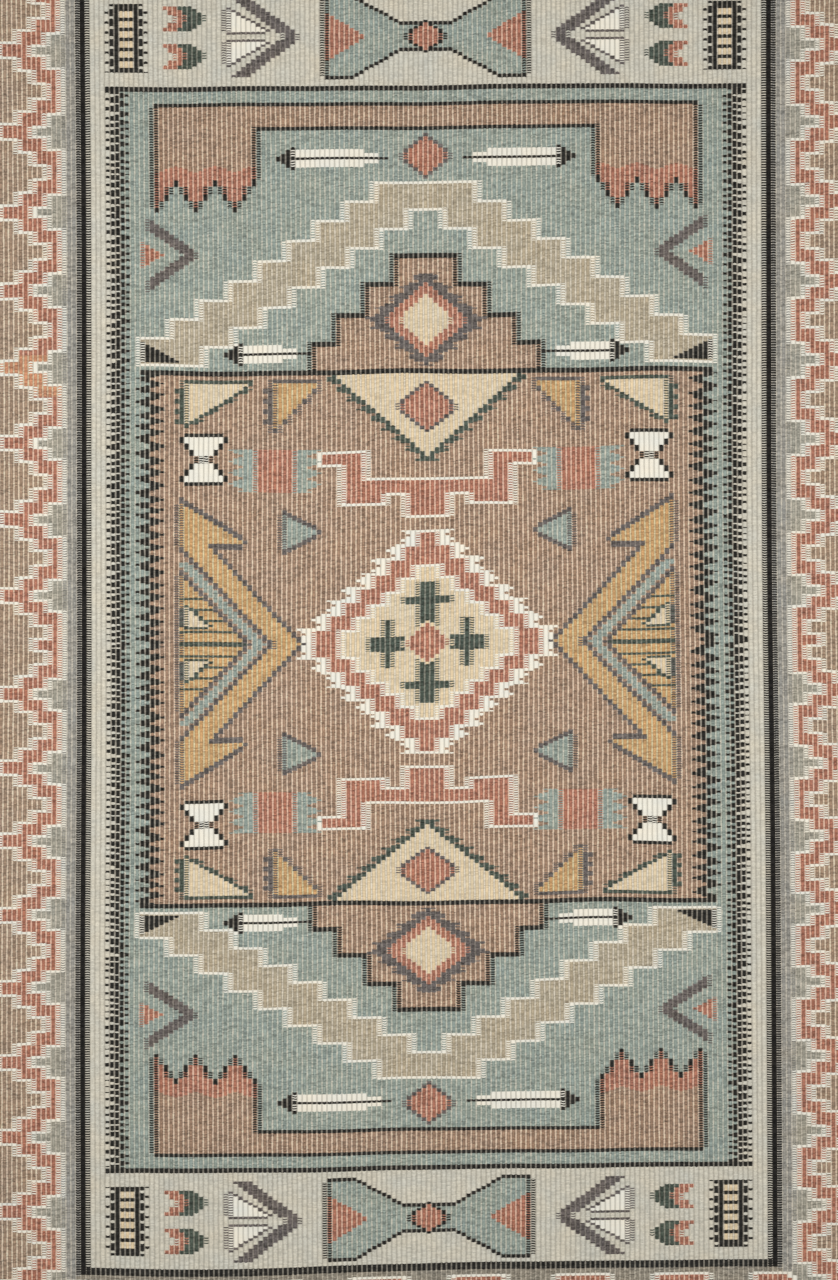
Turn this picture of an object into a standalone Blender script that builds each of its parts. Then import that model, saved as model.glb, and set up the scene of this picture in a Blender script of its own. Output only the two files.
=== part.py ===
"""A flat tapestry-woven wool rug: one thick cloth, lying face up, with a rib along every warp.

Metres, +Z up, +Y towards the rug's upper end. The rug lies on z = 0 with the middle of its box at the origin.
"""

import math

import bmesh
import bpy

# Driving dimensions
RUG_WIDTH = 0.748
RUG_LENGTH = 1.220
RIB_COUNT = 191

# Heights above the surface that the rug lies on
CREST_HEIGHT = 0.0034
VALLEY_HEIGHT = 0.0025
SELVEDGE_HEIGHT = 0.0021

# The cloth rounds down to its selvedges over this much of its length and width
END_ROUNDING = 0.0040
SIDE_ROUNDING = 0.0019
STRETCHES_ALONG = 7

# How unevenly it was woven: the lower end is wider, there is a shallow waist above the middle,
# and the lower end slants up to the right
LOWER_WIDENING = 0.003
WAIST_SHARE = 0.004
WAIST_ABOVE_MIDDLE = 0.3
WAIST_SPACING = 1.9
LOWER_END_SLANT = 0.0029
END_WAVE = 0.0007
END_WAVES_ACROSS = 1.3

# Dusty rose, teal and cream wool, seen together from a distance
WOOL_COLOUR = (0.330, 0.290, 0.235, 1.0)
WOOL_ROUGHNESS = 0.95


def remove_everything():
    """Empties the scene that the script starts in."""
    for thing in list(bpy.data.objects):
        bpy.data.objects.remove(thing, do_unlink=True)


def wool_material():
    """The one material of the solid."""
    material = bpy.data.materials.new("woven_wool")
    material.use_nodes = True
    shader = material.node_tree.nodes["Principled BSDF"]
    shader.inputs["Base Color"].default_value = WOOL_COLOUR
    shader.inputs["Roughness"].default_value = WOOL_ROUGHNESS
    shader.inputs["Metallic"].default_value = 0.0
    material.diffuse_color = WOOL_COLOUR
    return material


def half_width_at(along):
    """Half the rug's width, where along runs from -1 at its lower end to 1 at its upper end."""
    waist = math.cos(math.tau * (WAIST_ABOVE_MIDDLE - along) / WAIST_SPACING)
    return RUG_WIDTH / 2 * (1 - LOWER_WIDENING * along - WAIST_SHARE * waist)


def row_shift(across, along):
    """How far a weft row has strayed along the rug, where across runs from -1 to 1."""
    slant = LOWER_END_SLANT * (1 - along) / 2 * across
    return slant + END_WAVE * math.sin(math.tau * END_WAVES_ACROSS * across / 2)


def column_place(column):
    """Where a column of points lies across the rug: two to a rib, the outermost close to the selvedge."""
    last = 2 * RIB_COUNT
    inset = SIDE_ROUNDING / (RUG_WIDTH / 2)
    if column in (1, last - 1):
        return math.copysign(1 - inset, column - last / 2)
    return 2 * column / last - 1


def row_place(row):
    """Where a row of points lies along the rug: at each end, a little inside it, and evenly between."""
    inset = END_ROUNDING / (RUG_LENGTH / 2)
    if row in (0, STRETCHES_ALONG):
        return math.copysign(1, row - 0.5)
    return (1 - inset) * (2 * (row - 1) / (STRETCHES_ALONG - 2) - 1)


def height_at(column, row):
    """A point's height: selvedge, rib crest or the valley between two ribs."""
    if column in (0, 2 * RIB_COUNT) or row in (0, STRETCHES_ALONG):
        return SELVEDGE_HEIGHT
    return CREST_HEIGHT if column % 2 else VALLEY_HEIGHT


def ribbed_face():
    """The rug's upper face: a grid of points, two columns to a rib, shaped in place."""
    bpy.ops.mesh.primitive_grid_add(x_subdivisions=2 * RIB_COUNT, y_subdivisions=STRETCHES_ALONG, size=2)
    rug = bpy.context.object
    for vertex in rug.data.vertices:
        column = round((vertex.co.x + 1) * RIB_COUNT)
        row = round((vertex.co.y + 1) / 2 * STRETCHES_ALONG)
        across = column_place(column)
        along = row_place(row)
        vertex.co.x = across * half_width_at(along)
        vertex.co.y = along * RUG_LENGTH / 2 + row_shift(across, along)
        vertex.co.z = height_at(column, row)
    return rug


def close_underneath(rug):
    """Drops a wall from the selvedges to the surface and closes the flat underside."""
    mesh = bmesh.new()
    mesh.from_mesh(rug.data)
    rim = [edge for edge in mesh.edges if edge.is_boundary]
    made = bmesh.ops.extrude_edge_only(mesh, edges=rim)["geom"]
    lower_rim = [item for item in made if isinstance(item, bmesh.types.BMVert)]
    for vertex in lower_rim:
        vertex.co.z = 0.0
    rim = [edge for edge in mesh.edges if edge.is_boundary]
    bmesh.ops.holes_fill(mesh, edges=rim, sides=len(rim))
    bmesh.ops.recalc_face_normals(mesh, faces=mesh.faces)
    mesh.to_mesh(rug.data)
    mesh.free()


def centre_on_origin(rug):
    """Moves the points so that the middle of the rug's box is over the origin."""
    for axis in (0, 1):
        places = [vertex.co[axis] for vertex in rug.data.vertices]
        middle = (min(places) + max(places)) / 2
        for vertex in rug.data.vertices:
            vertex.co[axis] -= middle


def build_rug():
    """The woven cloth, in a collection of its own."""
    rug = ribbed_face()
    close_underneath(rug)
    centre_on_origin(rug)
    rug.name = "rug"
    rug.data.name = "rug"
    rug.data.materials.append(wool_material())

    collection = bpy.data.collections.new("navajo_rug")
    bpy.context.scene.collection.children.link(collection)
    for holder in rug.users_collection:
        holder.objects.unlink(rug)
    collection.objects.link(rug)
    return rug


remove_everything()
build_rug()
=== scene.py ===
"""A tapestry-woven wool rug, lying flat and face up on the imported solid's form.

The cloth is charted as a weaver counts it, in warps across and beads of weft along, and then
woven: each run of one yarn on one warp becomes a stretch of that warp's rib, and the whole
cloth is one closed sheet. Every place is worked out from the frame's box and a few real sizes.
"""

from __future__ import annotations

import logging
import math
from collections.abc import Sequence
from dataclasses import dataclass, field
from enum import Enum
from functools import partial
from typing import Any

import bpy
import numpy as np
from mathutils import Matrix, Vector

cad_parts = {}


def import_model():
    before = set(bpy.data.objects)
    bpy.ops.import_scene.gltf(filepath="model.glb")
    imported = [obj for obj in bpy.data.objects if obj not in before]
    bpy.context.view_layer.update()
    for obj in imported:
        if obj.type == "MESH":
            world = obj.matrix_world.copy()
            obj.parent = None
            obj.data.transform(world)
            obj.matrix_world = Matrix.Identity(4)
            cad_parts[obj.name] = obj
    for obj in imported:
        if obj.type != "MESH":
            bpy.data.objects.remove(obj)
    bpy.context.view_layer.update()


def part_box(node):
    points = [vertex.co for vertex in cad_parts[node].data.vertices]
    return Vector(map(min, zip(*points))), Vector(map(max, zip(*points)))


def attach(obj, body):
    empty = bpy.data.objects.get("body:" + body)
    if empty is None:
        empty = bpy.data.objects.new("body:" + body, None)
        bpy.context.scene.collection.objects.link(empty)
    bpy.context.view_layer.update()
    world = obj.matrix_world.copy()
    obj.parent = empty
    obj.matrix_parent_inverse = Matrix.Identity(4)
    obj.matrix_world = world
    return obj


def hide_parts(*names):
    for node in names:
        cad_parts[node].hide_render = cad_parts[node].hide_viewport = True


log = logging.getLogger("rug")

MM = 0.001
Mask = np.ndarray
Point = tuple[float, float]
Colour = tuple[float, float, float, float]
Wave = tuple[float, float, float]


@dataclass(frozen=True)
class Wool:
    """One wool: handspun, dyed and packed hard over the warps.

    Attributes:
        shade: sRGB hex colour of the yarn on a rib's crest.
        warp_line_and_shade: how much the cream warp, under a painted highlight of the yarn, is seen between
            two ribs, and how deep the painted shade down the ribs' sides is, from 0 to 1.
    """

    shade: str
    warp_line_and_shade: float


class Yarn(Enum):
    """The weaver's wools."""

    CREAM = Wool("#d3cebe", 0.18)
    TEAL = Wool("#929d94", 0.64)
    BROWN = Wool("#9b7f6a", 1.00)
    ISLAND_BROWN = Wool("#9f8772", 0.95)
    RUST = Wool("#a9715d", 0.94)
    MUSTARD = Wool("#c69c6c", 0.70)
    IVORY = Wool("#e1cca8", 0.84)
    WHITE = Wool("#f2edde", 0.06)
    TAN = Wool("#b1a48c", 0.72)
    SLATE = Wool("#655e5b", 0.36)
    GREEN = Wool("#495249", 0.50)
    BLACK = Wool("#292825", 0.65)
    LINE_BLACK = Wool("#211f1d", 0.05)
    GREY = Wool("#a09c8e", 0.60)
    BLUE_GREY = Wool("#97948c", 0.58)
    END_GREY = Wool("#8e8678", 0.55)
    PEACH = Wool("#c78d6c", 0.66)
    TOOTH_BLACK = Wool("#272623", 0.85)

    @property
    def code(self) -> int:
        """The yarn's place in the list."""
        return list(Yarn).index(self)


def linear(shade: str) -> tuple[float, float, float]:
    """Turns an sRGB colour to linear light.

    Args:
        shade: the colour as "#rrggbb".

    Returns:
        Red, green and blue as Blender's shaders take them.
    """
    parts = (int(shade[i : i + 2], 16) / 255 for i in (1, 3, 5))
    red, green, blue = (c / 12.92 if c <= 0.04045 else ((c + 0.055) / 1.055) ** 2.4 for c in parts)
    return red, green, blue


@dataclass(frozen=True)
class Count:
    """How the cloth is counted.

    Attributes:
        ribs: warps across, each one a rib of the face.
        beads: stitches of weft along one rib, from the upper end to the lower.
        beads_to_a_rib: beads along the cloth in the length of one rib's width.
        guard: the rib, counted from the middle one, under each side's guard line.
        end_guard: the bead, counted from the middle, of each end's guard line.
    """

    ribs: int = 191
    beads: int = 1240
    beads_to_a_rib: float = 4.0
    guard: int = 70
    end_guard: float = 520.0


def between(values: np.ndarray, span: Point) -> Mask:
    """The cells whose values lie in a span, both ends counted."""
    return (values >= span[0]) & (values <= span[1])


def pair_codes(first: np.ndarray, second: np.ndarray) -> np.ndarray:
    """One number for each pair of yarns."""
    return first.astype(int) * len(Yarn) + second


def waves(across: np.ndarray, along: np.ndarray, *each: Wave) -> np.ndarray:
    """The product of slanting waves, each given by its turn across, its turn along and its start."""
    return math.prod(np.sin(turn * across + rise * along + start) for turn, rise, start in each)


def runs_of(values: np.ndarray) -> list[tuple[int, int]]:
    """Splits a line of values where they change.

    Args:
        values: the line.

    Returns:
        The first index of each run and the index after its last.
    """
    cuts = np.flatnonzero(np.diff(values)) + 1
    edges = [0, *cuts.tolist(), len(values)]
    return list(zip(edges[:-1], edges[1:], strict=True))


class Chart:
    """The weaver's chart: which yarn covers each warp at each bead.

    Attributes:
        yarn: the code of each cell's yarn.
        mate: the code of the yarn that takes turns with it there.
        level: how late the cell was laid, as an inner figure is laid after what is round it.
        rib: each warp's place, counted from the middle one.
        bead: each bead's place along the warps, counted from the middle.
        out: how many ribs each cell is from the middle, to either side.
        off: how many beads it is from the middle, towards either end.
        tooth_start: how far a tooth's first rib falls short of filling its pitch, in ribs of slope.
        tooth_tip: how much is left of a tooth past its last rib, in the same measure.
    """

    tooth_start = 0.3
    tooth_tip = 0.2

    def __init__(self, count: Count) -> None:
        """Starts with the cream ground all over.

        Args:
            count: the cloth's counts.
        """
        self.count = count
        self.yarn = np.full((count.ribs, count.beads), Yarn.CREAM.code, np.uint8)
        self.mate = self.yarn.copy()
        self.level = np.zeros((count.ribs, count.beads), np.int16)
        self.rib = (np.arange(count.ribs) - (count.ribs - 1) / 2)[:, None]
        self.bead = (np.arange(count.beads) - (count.beads - 1) / 2)[None, :]
        self.out = np.abs(self.rib) + np.zeros_like(self.bead)
        self.off = np.abs(self.bead) + np.zeros_like(self.rib)
        self.painted = 0

    def box(self, ribs: Point, beads: Point) -> Mask:
        """The cells between two ribs and two beads, both counted from the middle, on all four sides."""
        return between(self.out, ribs) & between(self.off, beads)

    def polygon(self, *corners: Point) -> Mask:
        """The cells inside a straight-sided figure, repeated in all four quarters of the rug.

        Args:
            corners: its (rib, bead) corners in order, counted from the rug's middle.

        Returns:
            The cells as a mask.
        """
        inside = np.zeros(self.out.shape, bool)
        for (r0, b0), (r1, b1) in zip(corners, corners[1:] + corners[:1], strict=True):
            if b0 == b1:
                continue
            crosses = (self.off > b0) != (self.off > b1)
            inside ^= crosses & (self.out < r0 + (self.off - b0) * (r1 - r0) / (b1 - b0))
        return inside

    def diamond(self, at: Point, size: Point, step: int = 1) -> Mask:
        """A diamond round a (rib, bead), of half a width and half a height, with stairs some ribs wide."""
        away = np.floor(np.abs(self.out - at[0]) / step) * step
        return (away <= size[0]) & (np.abs(self.off - at[1]) <= size[1] * (1 - away / (size[0] + step)))

    @staticmethod
    def grown(area: Mask, beads: int, ribs: int = 1, corners: bool = False) -> Mask:
        """An area with the cells round it.

        Args:
            area: the cells.
            beads: how many beads it grows by along the warps.
            ribs: how many ribs it grows by to each side.
            corners: whether the outer corners are filled too.

        Returns:
            The larger area.
        """
        tall = area.copy()
        for shift in range(1, beads + 1):
            tall[:, shift:] |= area[:, :-shift]
            tall[:, :-shift] |= area[:, shift:]
        source = tall if corners else area
        wide = tall.copy()
        for shift in range(1, ribs + 1):
            wide[shift:] |= source[:-shift]
            wide[:-shift] |= source[shift:]
        return wide

    def toothed(self, area: Mask, pitch: int, reach: int = 2) -> Mask:
        """An area with small pointed teeth along its upright edges.

        Args:
            area: the cells.
            pitch: beads from one tooth to the next.
            reach: ribs that a tooth stands out.

        Returns:
            The area with its teeth.
        """
        phase = np.abs((self.off % pitch) - pitch / 2)
        result = area.copy()
        for rib in range(1, reach + 1):
            tip = phase < pitch / 2 * (1 - (rib - self.tooth_start) / (reach + self.tooth_tip))
            grown = np.zeros_like(area)
            grown[rib:] |= area[:-rib]
            grown[:-rib] |= area[rib:]
            result |= grown & tip
        return result

    def lay(self, area: Mask, yarn: Yarn) -> None:
        """Weaves an area in one yarn.

        Args:
            area: the cells.
            yarn: its yarn.
        """
        self.painted += 1
        self.yarn[area] = self.mate[area] = yarn.code
        self.level[area] = self.painted

    def figure(
        self, area: Mask, yarn: Yarn, edge: Yarn | None = None, beads: int = 3, corners: bool = False
    ) -> None:
        """Weaves a figure with a thin outline round it.

        Args:
            area: the figure's cells.
            yarn: its yarn.
            edge: the outline's yarn, or None for no outline.
            beads: the outline's height where it runs across the warps.
            corners: whether the outline turns square corners, as on stepped figures.
        """
        if edge is not None:
            self.lay(self.grown(area, beads, corners=corners), edge)
        self.lay(area, yarn)

    def comb_joins(self, shortest: int = 6) -> None:
        """Makes neighbouring yarns take turns round the warp that they share.

        Args:
            shortest: the least beads that an upright join runs for, to be combed.
        """
        left, right = self.yarn[:-1].copy(), self.yarn[1:].copy()
        for rib in range(self.count.ribs - 1):
            for start, end in runs_of(pair_codes(left[rib], right[rib])):
                if end - start < shortest or left[rib, start] == right[rib, start]:
                    continue
                span = slice(start, end)
                inner = self.level[rib, span] > self.level[rib + 1, span]
                self.mate[rib, span] = np.where(inner, right[rib, span], self.mate[rib, span])
                self.mate[rib + 1, span] = np.where(inner, self.mate[rib + 1, span], left[rib, span])


@dataclass(frozen=True)
class Meander:
    """The rust stepped meander of the border, outlined in white between grey and brown islands.

    Attributes:
        chart: the rug's chart.
        first_tip: beads from the rug's middle to the first tip on a side.
        side_period: beads from one tip to the next along a side.
        end_period: ribs from one tip to the next along an end.
        stages: shares of a period at which the path steps in, from a tip to the plateau.
        side_path: first and last rib of the path outside the guard line, for each stage.
        end_path: first and last bead of the path outside the end guard, for each stage.
        side_bar: first and last rib of the bars outside the tips.
        end_bar: the same in beads, at the ends.
        bar_share: half a bar's length, as a share of the period.
        tips_on_a_side: the tips from the middle to each end of a side.
        tips_on_an_end: the same along an end.
        blue_ribs: ribs of blue grey beside the guard line.
        middle_prong: ribs and beads of the stub at the middle of each side.
        peach_beads: the stretch of the left side that was woven in a paler rust.
        left_slip: beads by which the left side's upper tips sit too low.
        slipped: where that starts above the middle, and how far it runs.
    """

    chart: Chart
    first_tip: float = 41.0
    side_period: float = 61.6
    end_period: float = 20.4
    stages: tuple[float, ...] = (0.08, 0.235, 0.39, 9.0)
    side_path: tuple[Point, ...] = ((11, 17), (8, 13), (5, 10), (5, 7))
    end_path: tuple[Point, ...] = ((42, 62), (26, 46), (9, 30), (9, 15))
    side_bar: Point = (19, 21)
    end_bar: Point = (68, 80)
    bar_share: float = 0.43
    tips_on_a_side: int = 9
    tips_on_an_end: int = 5
    blue_ribs: int = 4
    middle_prong: tuple[Point, Point] = ((6, 10), (0, 4))
    peach_beads: Point = (-232, -200)
    left_slip: float = 6.5
    slipped: Point = (150.0, 390.0)

    def weave(self) -> None:
        """Weaves the border's grounds, its path and the bars outside it."""
        chart, count = self.chart, self.chart.count
        side = chart.out - count.guard
        end = chart.off - count.end_guard
        at_side = (side > 0) & (side * count.beads_to_a_rib >= end)
        at_end = (end > 0) & ~at_side
        upper = np.sin(math.pi * np.clip((-chart.bead - self.slipped[0]) / self.slipped[1], 0, 1))
        slipped = chart.off + self.left_slip * upper * (chart.rib < 0)
        along_side = self._from_tip(slipped, self.first_tip, self.side_period, self.tips_on_a_side)
        along_end = self._from_tip(chart.out, 0.0, self.end_period, self.tips_on_an_end)

        path = np.zeros(side.shape, bool)
        outside = path.copy()
        start = 0.0
        for stage, share in enumerate(self.stages):
            for here, along, depth, paths in (
                (at_side, along_side, side, self.side_path),
                (at_end, along_end, end, self.end_path),
            ):
                now = here & (along >= start) & (along < share)
                path |= now & between(depth, paths[stage])
                outside |= now & (depth > paths[stage][1])
            start = share
        prong, rows = self.middle_prong
        path |= at_side & between(side, prong) & between(chart.off, rows)
        bars = at_side & (along_side < self.bar_share) & between(side, self.side_bar)
        bars |= at_end & (along_end < self.bar_share) & between(end, self.end_bar)

        chart.lay(at_side & (side < self.blue_ribs), Yarn.BLUE_GREY)
        chart.lay(at_side & (side >= self.blue_ribs), Yarn.GREY)
        chart.lay(at_end, Yarn.END_GREY)
        chart.lay(outside, Yarn.ISLAND_BROWN)
        chart.figure(bars, Yarn.RUST, Yarn.WHITE, 2, corners=True)
        chart.figure(path, Yarn.RUST, Yarn.WHITE, 2, corners=True)
        chart.lay(path & (chart.rib < 0) & between(chart.bead, self.peach_beads), Yarn.PEACH)

    @staticmethod
    def _from_tip(along: np.ndarray, first: float, period: float, tips: int) -> np.ndarray:
        """How far each cell is from the nearest tip, as a share of the period.

        Args:
            along: distance from the rug's middle.
            first: the first tip's distance.
            period: the distance between tips.
            tips: how many tips, after which the path stays out as far as the corner.

        Returns:
            The share, from 0 at a tip.
        """
        last = first + (tips - 1) * period
        nearest = np.clip(np.round((along - first) / period), 0, tips - 1) * period + first
        return np.where(along > last, 0.0, np.abs(along - nearest) / period)


@dataclass(frozen=True)
class Lines:
    """The black guard lines and the toothed lines round the panels.

    Attributes:
        chart: the rug's chart.
        guard_beads: half the height of a guard line's row of dashes, in beads.
        frame_rib: the middle rib of the toothed line round the panels.
        frame_bead: first and last bead of the row that closes the panels at each end.
        frame_pitch: beads from tooth to tooth there.
        frame_teeth: ribs outwards from that one, each with its teeth's first bead and the bead after
            their last.
        saw_rib: the first rib inside the large saw line beside the centre panel.
        saw_bead: first and last bead of the row between the centre panel and its neighbours.
        saw_pitch: beads from tooth to tooth of the saw line.
        saw_teeth: first and last bead of a tooth on each of its ribs, from its tip inwards.
        slip: beads by which a tooth may start early or late.
        slip_waves: how fast that comes and goes, in radians to a bead, and how strongly.
    """

    chart: Chart
    guard_beads: float = 2.5
    frame_rib: int = 63
    frame_bead: Point = (437, 440.5)
    frame_pitch: int = 6
    frame_teeth: tuple[tuple[int, int, int], ...] = (
        (2, 2, 4),
        (1, 1, 5),
        (0, 1, 6),
        (-1, 4, 8),
        (-2, 5, 7),
    )
    saw_rib: int = 57
    saw_bead: Point = (216, 219.5)
    saw_pitch: int = 10
    saw_teeth: tuple[Point, ...] = ((1, 7), (2, 6), (4, 5))
    slip: float = 1.0
    slip_waves: tuple[Point, ...] = ((0.19, 1.0), (0.071, 0.8))

    def weave(self) -> None:
        """Weaves the lines over the grounds."""
        chart, guard = self.chart, self.chart.count.guard
        end = (self.chart.count.end_guard - self.guard_beads, self.chart.count.end_guard + self.guard_beads)
        chart.lay(chart.box((0, guard + 1), end), Yarn.BLACK)
        chart.lay(chart.box((guard - 1, guard + 1), (0, end[1])), Yarn.LINE_BLACK)

        phase = self._phase(self.frame_pitch)
        for rib, first, last in self.frame_teeth:
            tooth = ((phase - first) % self.frame_pitch < last - first) & (chart.off < self.frame_bead[0])
            chart.lay((chart.out == self.frame_rib + rib) & tooth, Yarn.TOOTH_BLACK)
        chart.lay(chart.box((0, self.frame_rib + 2), self.frame_bead), Yarn.BLACK)

        phase = self._phase(self.saw_pitch)
        inner = (phase + self.saw_pitch // 2) % self.saw_pitch
        for step, tooth in enumerate(self.saw_teeth):
            left = (chart.out == self.saw_rib + step) & between(phase, tooth)
            right = (chart.out == self.saw_rib - 1 - step) & between(inner, tooth)
            chart.lay((left | right) & (chart.off < self.saw_bead[0]), Yarn.TOOTH_BLACK)
        chart.lay(chart.box((0, self.saw_rib + 1), self.saw_bead), Yarn.BLACK)

    def _phase(self, pitch: int) -> np.ndarray:
        """How far each bead is into its tooth, where the weaver's count slips by a bead here and there.

        Args:
            pitch: beads from tooth to tooth.

        Returns:
            Whole beads from the tooth's start.
        """
        side = np.sign(self.chart.rib)
        slip = sum(
            size * np.sin(rate * self.chart.bead + turn * side)
            for turn, (rate, size) in enumerate(self.slip_waves, start=1)
        )
        return np.floor(self.chart.off + self.slip * slip) % pitch


@dataclass(frozen=True)
class CentrePanel:
    """The brown panel: a stepped medallion between nested chevrons, blocks and small figures.

    Attributes:
        chart: the rug's chart.
        edge: its last rib and last bead.
        stair: ribs in each stair of the medallion.
        arm_slope: beads that a chevron's arm rises for each rib.
    """

    chart: Chart
    edge: Point = (56, 216)
    stair: int = 3
    arm_slope: float = 4.2

    def weave(self) -> None:
        """Weaves the panel's ground and figures."""
        chart = self.chart
        chart.lay(chart.box((0, self.edge[0]), (0, self.edge[1])), Yarn.BROWN)
        self._medallion()
        self._chevrons()
        self._terraces()
        self._side_figures()

    def _medallion(self) -> None:
        """Weaves the large diamond at the rug's middle, ring inside ring."""
        chart = self.chart
        outer = chart.diamond((0, 0), (21, 90), self.stair)
        chart.lay(chart.toothed(chart.grown(outer, 2, corners=True), 8, 2), Yarn.WHITE)
        chart.lay(outer, Yarn.RUST)
        chart.figure(chart.diamond((0, 0), (15, 62), self.stair), Yarn.IVORY, Yarn.WHITE, 2, corners=True)
        arms = chart.box((0, 2), (0, 50)) | chart.box((0, 12), (0, 6))
        arms |= chart.box((0, 5), (32, 38)) | chart.box((7, 9), (0, 20))
        chart.lay(arms, Yarn.GREEN)
        chart.figure(chart.diamond((0, 0), (4, 16)), Yarn.RUST, Yarn.IVORY, 2)

    def _chevrons(self) -> None:
        """Weaves the nested chevrons that point at the medallion from both sides, and their barbs."""
        chart = self.chart
        barb = chart.polygon((37, 82), (50.5, 82), (50.5, 116))
        chart.figure(self._arm(25.5, 45, 5.5) | barb, Yarn.MUSTARD, Yarn.SLATE, 5)
        chart.lay(self._arm(32.5, 48.5, 2.5), Yarn.TEAL)
        pointer = chart.polygon((22, 92), (30, 76), (30, 108))
        chart.figure(pointer, Yarn.TEAL, Yarn.SLATE, 4)
        core = chart.polygon((36.5, -1), (50.5, 58), (50.5, -1))
        chart.figure(core, Yarn.MUSTARD, Yarn.SLATE, 5)
        chart.lay(core & (np.floor(chart.off) % 9 < 2) & (chart.off < 38), Yarn.GREEN)
        chart.figure(chart.polygon((44.5, 14), (49.5, 14), (49.5, 32)), Yarn.IVORY, Yarn.GREEN, 2)

    def _arm(self, tip: float, back: float, thick: float) -> Mask:
        """One chevron: two slanting arms that meet in a point.

        Args:
            tip: the rib of its point.
            back: the rib at which its arms end.
            thick: the arms' width in ribs.

        Returns:
            The cells as a mask.
        """
        rise = (back - tip) * self.arm_slope
        inner = tip + thick
        return self.chart.polygon((tip, -1), (back, rise), (back + thick, rise), (inner, 0), (inner, -1))

    def _terraces(self) -> None:
        """Weaves the rust terraces above and below the medallion, and the half diamonds behind them."""
        chart = self.chart
        terrace = chart.box((0, 4), (104, 122)) | chart.box((0, 17), (122, 132))
        terrace |= chart.box((13, 17), (114, 154)) | chart.box((13, 21), (146, 154))
        terrace |= chart.box((9, 17), (114, 122))
        chart.figure(terrace, Yarn.RUST, Yarn.WHITE, 2, corners=True)
        half = chart.polygon((-1, 148), (19, 216), (-1, 216))
        chart.lay(chart.toothed(chart.grown(half, 4), 8, 2) & (chart.off < 217), Yarn.GREEN)
        chart.lay(half, Yarn.IVORY)
        chart.figure(chart.diamond((0, 190), (5, 18)), Yarn.RUST, Yarn.SLATE, 2)

    def _side_figures(self) -> None:
        """Weaves the blocks, hourglasses and corner triangles along the panel's sides."""
        chart = self.chart
        block = chart.box((25, 37), (124, 158))
        chart.lay(chart.toothed(block, 9, 3), Yarn.TEAL)
        chart.lay(chart.box((27, 35), (124, 158)), Yarn.RUST)

        glass = chart.polygon(
            (41, 132), (50, 132), (46.5, 149), (46.5, 151), (50, 168), (41, 168), (44.5, 151), (44.5, 149)
        )
        chart.figure(glass, Yarn.WHITE, Yarn.BLACK)

        for foot, top, reach, yarn, edge in (
            (22, 32, 170, Yarn.MUSTARD, Yarn.SLATE),
            (36, 50, 176, Yarn.IVORY, Yarn.GREEN),
        ):
            corner = chart.polygon((foot, 210), (top, 210), (top, reach))
            chart.lay(chart.toothed(chart.grown(corner, 3), 8, 1), edge)
            chart.lay(corner, yarn)


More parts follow.
